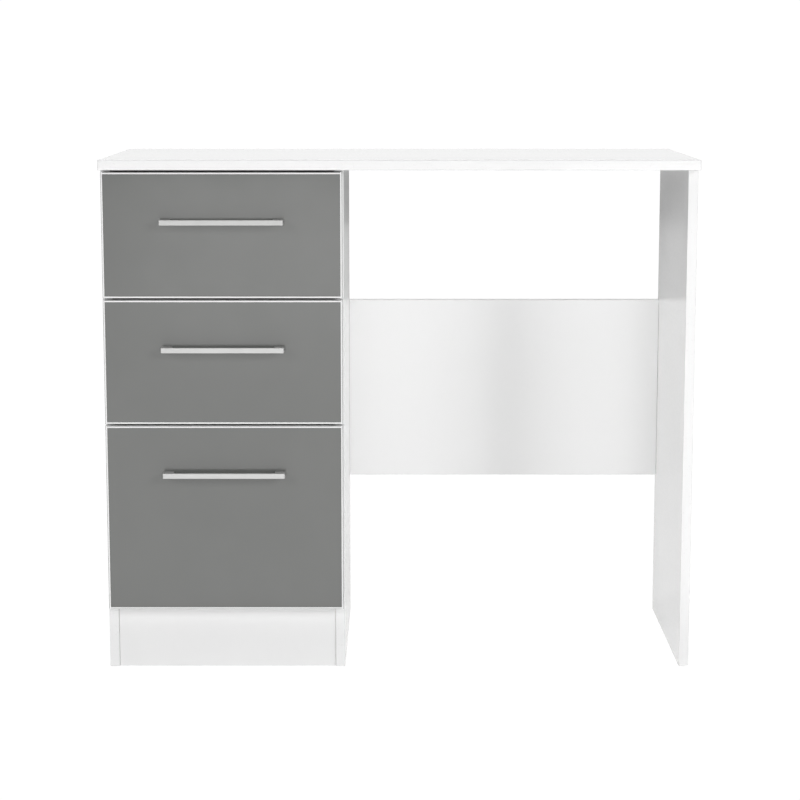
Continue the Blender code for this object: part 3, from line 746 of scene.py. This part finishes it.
def cam_mesh():
    """One cam fitting, its face at z = 0, with a raised rim and a cross recess, cut one arm at a time."""
    shape = bmesh.new()
    rim = CAM_RADIUS - 0.0001
    add_turned(shape, ((0.0, -0.0006), (rim - 0.0012, -0.0006), (rim - 0.0009, -0.0001), (rim - 0.0002, 0.0),
                       (rim, -0.0002), (rim, -CAM_DEPTH), (0.0, -CAM_DEPTH)), Matrix.Identity(4), 0, 28)
    bmesh.ops.recalc_face_normals(shape, faces=shape.faces)
    mesh = bpy.data.meshes.new("cam")
    shape.to_mesh(mesh)
    shape.free()
    pattern = bpy.data.objects.new("cam", mesh)
    bpy.context.scene.collection.objects.link(pattern)
    for wide, narrow in ((CAM_CROSS_LENGTH, CAM_CROSS_WIDTH), (CAM_CROSS_WIDTH, CAM_CROSS_LENGTH)):
        arm = bmesh.new()
        add_block(arm, (-wide / 2, -narrow / 2, -CAM_CROSS_DEPTH), (wide / 2, narrow / 2, 0.0010), 0)
        add_cut(pattern, arm)
    cut_mesh = pattern.data
    bpy.data.objects.remove(pattern)
    return cut_mesh


cast = cast_zinc()
cam = cam_mesh()
flush_head = ((0.0, 0.0), (FLUSH_HEAD_RADIUS, 0.0), (FLUSH_HEAD_RADIUS, -0.0003), (SCREW_RADIUS, -0.0022))
flush_screw = screw_mesh(flush_head, BACK_SCREW_LENGTH)

for drawer in DRAWERS:
    body = drawer + "_drawer"
    floor_low, floor_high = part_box(drawer + "_drawer_floor")
    back_board_low, back_board_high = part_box(drawer + "_drawer_back")
    back_middle_y = (back_board_low.y + back_board_high.y) / 2
    cams = bmesh.new()
    screws = bmesh.new()
    for hand, outward in (("left", -1), ("right", 1)):
        node = f"{drawer}_drawer_{hand}_side"
        low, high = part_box(node)
        inner_x = low.x if outward > 0 else high.x
        outer_x = high.x if outward > 0 else low.x
        shape = bmesh.new()
        add_faced_board(shape, low, high, 0, ((2, 1), (2, -1)), BOX_BAND, BOX_ROUNDING)
        cutter = bmesh.new()
        add_block(cutter,
                  (inner_x - FLOOR_GROOVE_DEPTH, low.y - 0.01, floor_low.z - GROOVE_ROOM),
                  (inner_x + FLOOR_GROOVE_DEPTH, high.y + 0.01, floor_high.z + GROOVE_ROOM), CHIPBOARD)
        for fixing_z in (low.z + LOWER_FIXING, high.z - UPPER_FIXING):
            cam_place = facing((-outward, 0, 0), (inner_x, low.y + CAM_SETBACK, fixing_z))
            add_turned(cutter, ((0.0, 0.01), (CAM_RADIUS, 0.01), (CAM_RADIUS, -CAM_DEPTH - CAM_SINK - 0.0002),
                                (0.0, -CAM_DEPTH - CAM_SINK - 0.0002)), cam_place, CHIPBOARD, 28)
            add_copy(cams, cam, cam_place @ Matrix.Translation((0.0, 0.0, -CAM_SINK)))
            screw_place = facing((outward, 0, 0), (outer_x, back_middle_y, fixing_z))
            sink = FLUSH_HEAD_RADIUS + 0.0002
            add_turned(cutter, ((0.0, 0.01), (sink, 0.01), (sink, -0.0006), (SCREW_HOLE, -0.0026),
                                (SCREW_HOLE, -0.03), (0.0, -0.03)), screw_place, CHIPBOARD, 20)
            add_copy(screws, flush_screw, screw_place @ Matrix.Translation((0.0, 0.0, -0.0001)))
        new_piece(node + "_board", shape, body, board_finishes, [node], cutter)
    new_piece(drawer + "_drawer_cams", cams, body, [cast])

    shape = bmesh.new()
    add_faced_board(shape, back_board_low, back_board_high, 1, ((2, 1),), BOX_BAND, BOX_ROUNDING)
    cutter = bmesh.new()
    side_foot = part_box(f"{drawer}_drawer_left_side")[0].z
    for end_x in (back_board_low.x, back_board_high.x):
        for fixing_z in (side_foot + LOWER_FIXING, back_board_high.z - UPPER_FIXING):
            add_turned(cutter, ((0.0, 0.03), (SCREW_HOLE, 0.03), (SCREW_HOLE, -0.03), (0.0, -0.03)),
                       facing((1, 0, 0), (end_x, back_middle_y, fixing_z)), CHIPBOARD, 16)
    new_piece(drawer + "_drawer_back_board", shape, body, board_finishes,
              [drawer + "_drawer_back"], cutter)
    new_piece(drawer + "_drawer_screws", screws, body, [zinc])

    shape = bmesh.new()
    add_sheet(shape, floor_low, floor_high, 2, 1)
    new_piece(drawer + "_drawer_floor_sheet", shape, body, hardboard_finishes,
              [drawer + "_drawer_floor"])

# ================================================================ roller runners
# At each side a steel channel is screwed to the upright and a steel rail to the box, both of 1 mm sheet
# coated white. A riveted nylon roller at the channel's front carries the rail. Another at the rail's rear
# runs in the channel, until a tab on its floor stops it when the drawer is fully open.

STEEL = 0.001
BEND = 0.0011
RAIL_FIT = 0.0003
NOTCH_ROOM = 0.002
SLOT_RADIUS = 0.0022
SLOT_LENGTH = 0.012
RUNNER_SCREWS = (0.045, 0.165, 0.325)
RUNNER_SLOTS = (0.085, 0.125, 0.205, 0.245, 0.285)
RAIL_SCREWS = (0.028, 0.150, 0.262)
RAIL_SLOTS = (0.070, 0.110, 0.190, 0.225)
WEB_HEAD_RADIUS = 0.0033
WEB_HEAD_PROUD = 0.0003
TAB_LENGTH = 0.003
TAB_HEIGHT = 0.002
TAB_ROUNDING = 0.0004
RIVET_RADIUS = 0.002
RIVET_HEAD_RADIUS = 0.0032
SHOULDER_RADIUS = 0.0035
RIVET_HEAD = 0.0006
TOUCHING = 0.00001
ROLLER_BORE = 0.0023
ROLLER_CHAMFER = 0.0007
RING_DEPTH = 0.0005
DIMPLE_PLACE = 0.0049
DIMPLE_COUNT = 6


def coated_steel():
    """White epoxy coat on folded sheet, with a fine orange peel."""
    finish = new_finish("coated_steel", (0.80, 0.80, 0.78), 0.36)
    tint(finish, speckle(finish, 0.03), (0.3, (0.785, 0.785, 0.765)), (0.7, (0.815, 0.815, 0.795)))
    dull(finish, speckle(finish, 0.01), 0.30, 0.42)
    emboss(finish, speckle(finish, 0.0015), 0.00004, 0.5)
    return finish


def white_nylon():
    """Moulded nylon, off-white and waxy."""
    finish = new_finish("white_nylon", (0.80, 0.80, 0.75), 0.42)
    tint(finish, speckle(finish, 0.006), (0.3, (0.78, 0.78, 0.73)), (0.7, (0.83, 0.83, 0.78)))
    dull(finish, speckle(finish, 0.002), 0.36, 0.50)
    emboss(finish, speckle(finish, 0.0008), 0.00002, 0.5)
    return finish


def add_folded(shape, path, low_y, high_y):
    """Adds sheet steel folded at right angles along a path of (x, z) corners, between two places along Y."""
    corners = []
    for hand in (1, -1):
        run = []
        for index, point in enumerate(path):
            before = Vector(point) - Vector(path[index - 1]) if index else None
            after = Vector(path[index + 1]) - Vector(point) if index < len(path) - 1 else None
            legs = [leg.normalized() for leg in (before, after) if leg]
            offset = sum((Vector((-leg.y, leg.x)) for leg in legs), Vector((0.0, 0.0))) * hand * STEEL / 2
            turning = legs[0].cross(legs[1]) if len(legs) == 2 else 0.0
            radius = BEND - hand * turning * STEEL / 2 if turning else 0.0
            run.append((point[0] + offset.x, point[1] + offset.y, radius))
        corners += run if hand > 0 else run[::-1]
    upright = Matrix(((1, 0, 0, 0), (0, 0, 1, (low_y + high_y) / 2), (0, 1, 0, 0), (0, 0, 0, 1)))
    add_plate(shape, rounded_outline(corners), high_y - low_y, upright)


def add_web_holes(cutter, web_x, low_y, z, screw_places, slot_places):
    """Adds cutters for the round screw holes and the oblong slots along the middle of a web."""
    hole_radius = WEB_HEAD_RADIUS + 0.0001
    for place in screw_places:
        across = facing((1, 0, 0), (web_x, low_y + place, z))
        add_turned(cutter, ((0.0, STEEL), (hole_radius, STEEL), (hole_radius, -STEEL), (0.0, -STEEL)),
                   across, 0, 24)
    half = SLOT_LENGTH / 2
    rounding = SLOT_RADIUS * 0.99
    slot = rounded_outline(((-half, -SLOT_RADIUS, rounding), (half, -SLOT_RADIUS, rounding),
                            (half, SLOT_RADIUS, rounding), (-half, SLOT_RADIUS, rounding)))
    for place in slot_places:
        along = Matrix(((0, 0, 1, web_x), (1, 0, 0, low_y + place), (0, 1, 0, z), (0, 0, 0, 1)))
        add_plate(cutter, slot, 2 * STEEL, along)


def add_rivet(shape, web_face, roller_low, roller_high, inward):
    """Adds a shouldered rivet, from the face of its web through its roller to a thin head."""
    middle = (roller_low + roller_high) / 2
    near = roller_low.x if inward > 0 else roller_high.x
    shoulder = abs(near - web_face) - RAIL_FIT
    head = shoulder + (roller_high.x - roller_low.x) + 2 * RAIL_FIT
    add_turned(shape, ((0.0, head + RIVET_HEAD), (RIVET_HEAD_RADIUS * 0.75, head + RIVET_HEAD),
                       (RIVET_HEAD_RADIUS, head + RIVET_HEAD / 2), (RIVET_HEAD_RADIUS, head),
                       (RIVET_RADIUS, head), (RIVET_RADIUS, shoulder), (SHOULDER_RADIUS, shoulder),
                       (SHOULDER_RADIUS, TOUCHING), (0.0, TOUCHING)),
               facing((inward, 0, 0), (web_face, middle.y, middle.z)), 0, 28)


def roller_mesh(radius, width):
    """A nylon roller with a chamfered tread, and on both faces a shallow ring with dimples from the mould."""
    half = width / 2
    sunk = half - RING_DEPTH
    side = ((ROLLER_BORE, half), (0.0036, half), (0.0040, sunk), (radius - 0.0022, sunk),
            (radius - 0.0018, half), (radius - ROLLER_CHAMFER, half),
            (radius - 0.0002, half - ROLLER_CHAMFER * 0.6), (radius, half - ROLLER_CHAMFER * 1.6))
    shape = bmesh.new()
    add_turned(shape, side + tuple((ring, -height) for ring, height in side[::-1]), Matrix.Identity(4), 0, 48)
    bmesh.ops.recalc_face_normals(shape, faces=shape.faces)
    dimples = bmesh.new()
    for dimple in range(DIMPLE_COUNT):
        turn = Matrix.Rotation(2 * math.pi * dimple / DIMPLE_COUNT, 4, "Z")
        for end in (1, -1):
            add_turned(dimples, ((0.0, 0.0002), (0.0007, 0.0002), (0.0005, -0.0009), (0.0, -0.0009)),
                       turn @ facing((0, 0, end), (DIMPLE_PLACE, 0.0, end * sunk)), 0, 12)
    mesh = bpy.data.meshes.new("roller")
    shape.to_mesh(mesh)
    shape.free()
    pattern = bpy.data.objects.new("roller", mesh)
    bpy.context.scene.collection.objects.link(pattern)
    add_cut(pattern, dimples)
    cut_mesh = pattern.data
    bpy.data.objects.remove(pattern)
    return cut_mesh


coat = coated_steel()
nylon = white_nylon()
web_head = ((0.0, WEB_HEAD_PROUD), (WEB_HEAD_RADIUS * 0.85, WEB_HEAD_PROUD), (WEB_HEAD_RADIUS, 0.0),
            (WEB_HEAD_RADIUS, -0.0004))
web_screw = screw_mesh(web_head, 0.0012)
first_low, first_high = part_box("top_front_roller_left")
roller = roller_mesh((first_high.z - first_low.z) / 2, first_high.x - first_low.x)
travel = {joint["name"]: joint["range_m"][1] for joint in frame["joints"] if "range_m" in joint}

runner_screws = bmesh.new()
runner_rivets = bmesh.new()
for drawer in DRAWERS:
    body = drawer + "_drawer"
    rail_screws = bmesh.new()
    rail_rivets = bmesh.new()
    for hand, inward in (("left", 1), ("right", -1)):
        wall = 0 if inward > 0 else 1       # which corner of a box lies towards the upright
        front_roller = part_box(f"{drawer}_front_roller_{hand}")
        rear_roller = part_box(f"{drawer}_rear_roller_{hand}")

        node = f"{drawer}_runner_{hand}"
        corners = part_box(node)
        low, high = corners
        web_x = corners[wall].x + inward * STEEL / 2
        tip_x = corners[1 - wall].x
        middle_z = (low.z + high.z) / 2
        shape = bmesh.new()
        add_folded(shape, ((tip_x, low.z + STEEL / 2), (web_x, low.z + STEEL / 2),
                           (web_x, high.z - STEEL / 2), (tip_x, high.z - STEEL / 2)), low.y, high.y)
        cutter = bmesh.new()
        notch_x = sorted((web_x + inward * BEND, tip_x + inward * STEEL))
        add_block(cutter, (notch_x[0], low.y - STEEL, high.z - 1.5 * STEEL),
                  (notch_x[1], front_roller[1].y + NOTCH_ROOM, high.z + STEEL), 0)
        add_web_holes(cutter, web_x, low.y, middle_z, RUNNER_SCREWS, RUNNER_SLOTS)
        new_piece(f"{drawer}_{hand}_channel", shape, "desk", [coat], [node], cutter)
        for place in RUNNER_SCREWS:
            head_place = (web_x + inward * STEEL / 2, low.y + place, middle_z)
            add_copy(runner_screws, web_screw, facing((inward, 0, 0), head_place))
        add_rivet(runner_rivets, web_x + inward * STEEL / 2, *front_roller, inward)

        roller_radius = (rear_roller[1].z - rear_roller[0].z) / 2
        rise = rear_roller[0].z + roller_radius - (low.z + STEEL + TAB_HEIGHT)
        tab_y = (rear_roller[0].y + rear_roller[1].y) / 2 - travel[drawer + "_drawer_slide"] \
            - math.sqrt(roller_radius ** 2 - rise ** 2) - RAIL_FIT
        tab_x = sorted((web_x + inward * 3 * STEEL, tip_x - inward * STEEL))
        shape = bmesh.new()
        add_block(shape, (tab_x[0], tab_y - TAB_LENGTH, low.z + STEEL + TOUCHING),
                  (tab_x[1], tab_y, low.z + STEEL + TAB_HEIGHT), 0, TAB_ROUNDING, 2)
        new_piece(f"{drawer}_{hand}_stop_tab", shape, "desk", [coat])

        node = f"{drawer}_rail_{hand}"
        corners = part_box(node)
        low, high = corners
        box_low, box_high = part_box(f"{drawer}_drawer_{hand}_side")
        box_face = box_low.x if inward > 0 else box_high.x
        web_x = box_face - inward * (RAIL_FIT + STEEL / 2)
        shape = bmesh.new()
        add_folded(shape, ((corners[1 - wall].x, low.z + STEEL / 2), (web_x, low.z + STEEL / 2),
                           (web_x, high.z - STEEL / 2), (corners[wall].x, high.z - STEEL / 2)), low.y, high.y)
        cutter = bmesh.new()
        add_web_holes(cutter, web_x, low.y, middle_z, RAIL_SCREWS, RAIL_SLOTS)
        new_piece(f"{drawer}_{hand}_rail", shape, body, [coat], [node], cutter)
        for place in RAIL_SCREWS:
            head_place = (web_x - inward * STEEL / 2, low.y + place, middle_z)
            add_copy(rail_screws, web_screw, facing((-inward, 0, 0), head_place))
        add_rivet(rail_rivets, web_x - inward * STEEL / 2, *rear_roller, -inward)

        for node, (low, high) in ((f"{drawer}_front_roller_{hand}", front_roller),
                                  (f"{drawer}_rear_roller_{hand}", rear_roller)):
            shape = bmesh.new()
            add_copy(shape, roller, facing((1, 0, 0), (low + high) / 2))
            new_piece(node + "_wheel", shape, node, [nylon], [node])
    new_piece(drawer + "_rail_screws", rail_screws, body, [zinc])
    new_piece(drawer + "_rail_rivets", rail_rivets, body, [zinc])
new_piece("channel_screws", runner_screws, "desk", [zinc])
new_piece("channel_rivets", runner_rivets, "desk", [zinc])
